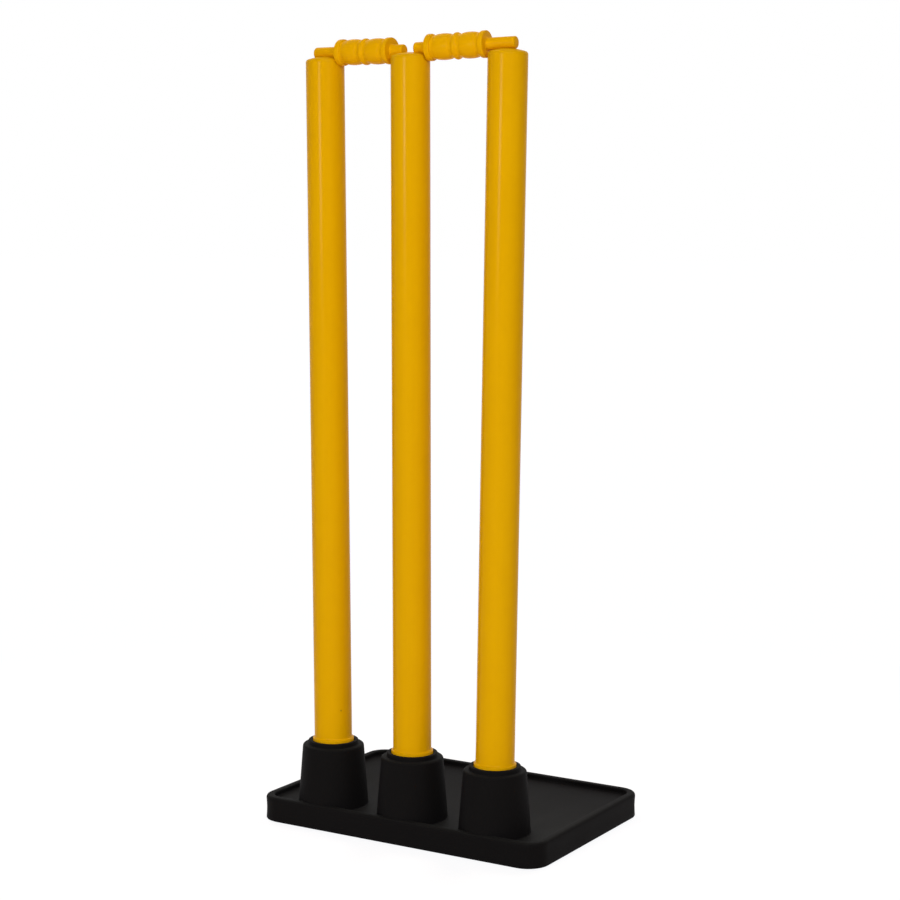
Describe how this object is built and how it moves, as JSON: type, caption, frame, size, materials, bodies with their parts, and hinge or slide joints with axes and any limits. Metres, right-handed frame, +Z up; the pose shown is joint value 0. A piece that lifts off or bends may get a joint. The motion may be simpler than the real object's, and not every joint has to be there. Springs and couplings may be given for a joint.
{
  "type": "cricket stumps",
  "caption": "Free-standing cricket wicket: round plastic stumps pushed into the tall sockets of a heavy rubber tray base, with turned bails resting across their tops.",
  "frame": {"origin": "middle of the rubber base's underside, on the ground", "axes": "+Z up; +X along the wicket, from the left stump to the right one as seen from the front; -Y towards the front, the side on which the row of sockets stands"},
  "size_m": [0.3014, 0.2108, 0.7295],
  "materials": {
    "black_rubber": "satin moulded black rubber",
    "yellow_tube": "satin golden yellow plastic",
    "yellow_fitting": "satin golden yellow plastic",
    "yellow_bail": "satin golden yellow plastic, a shade deeper"
  },
  "bodies": {
    "base": {"rubber_base": "black_rubber"},
    "stump_middle": {"foot_plug_middle": "yellow_fitting", "stump_tube_middle": "yellow_tube", "top_cap_middle": "yellow_fitting"},
    "stump_left": {"foot_plug_left": "yellow_fitting", "stump_tube_left": "yellow_tube", "top_cap_left": "yellow_fitting"},
    "stump_right": {"foot_plug_right": "yellow_fitting", "stump_tube_right": "yellow_tube", "top_cap_right": "yellow_fitting"},
    "bail_left": {"bail_left": "yellow_bail"},
    "bail_right": {"bail_right": "yellow_bail"}
  },
  "joints": [
    {"name": "stump_middle_lift", "type": "slide", "parent": "base", "child": "stump_middle", "axis": [0, -0.0096, 1], "range_m": [0, 0.09]},
    {"name": "stump_left_lift", "type": "slide", "parent": "stump_middle", "child": "stump_left", "axis": [-0.0124, 0, 0.9999], "range_m": [0, 0.09]},
    {"name": "stump_right_lift", "type": "slide", "parent": "stump_middle", "child": "stump_right", "axis": [0.0124, 0, 0.9999], "range_m": [0, 0.09]},
    {"name": "bail_left_lift", "type": "slide", "parent": "stump_left", "child": "bail_left", "axis": [0, 0, 1], "range_m": [0, 0.06]},
    {"name": "bail_right_lift", "type": "slide", "parent": "stump_right", "child": "bail_right", "axis": [0, 0, 1], "range_m": [0, 0.06]}
  ]
}
